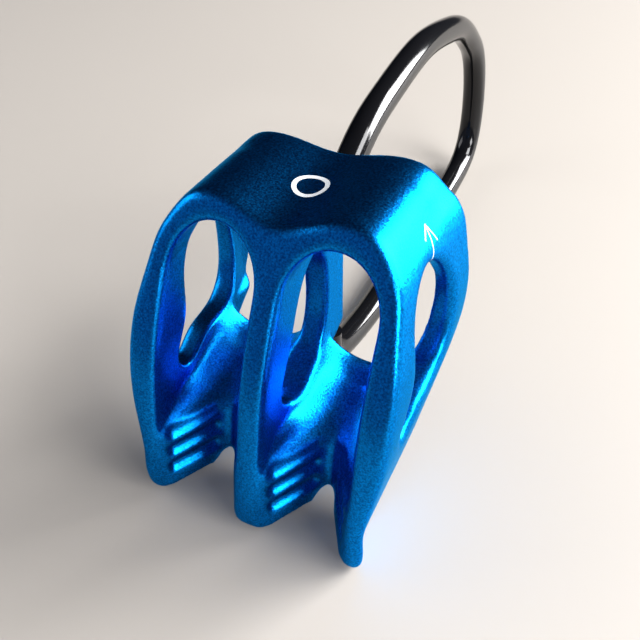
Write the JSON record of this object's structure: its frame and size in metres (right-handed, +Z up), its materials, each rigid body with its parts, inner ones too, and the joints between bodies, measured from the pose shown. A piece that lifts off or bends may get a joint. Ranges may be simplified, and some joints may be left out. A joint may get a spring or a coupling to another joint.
{
  "type": "belay device",
  "caption": "Tube-style belay device: anodised body with rope slots, toothed V-grooves and windowed fins, and a jacketed wire keeper loop that swings at the back.",
  "frame": {"origin": "middle of the whole device's footprint, on the surface that its feet stand on", "axes": "+X across the two rope slots, +Y along the rope from the mouth of the slots to the keeper loop, +Z up from the feet to the crown"},
  "size_m": [0.0396, 0.1028, 0.0437],
  "materials": {
    "anodised_body": "satin bead-blasted blue anodising with rounded edges",
    "steel_cable": "bright stranded wire",
    "sleeve_metal": "plain crimped tube",
    "cable_jacket": "glossy extruded plastic"
  },
  "bodies": {
    "device": {"body": "anodised_body"},
    "keeper": {"keeper_core": "steel_cable", "crimp_sleeve": "sleeve_metal", "keeper_jacket": "cable_jacket"}
  },
  "joints": [
    {"name": "keeper_swing", "type": "hinge", "parent": "device", "child": "keeper", "pos_m": [0, -0.01982, 0.0305], "axis": [0, 0.1374, 0.9905], "range_deg": [-30, 30]}
  ]
}
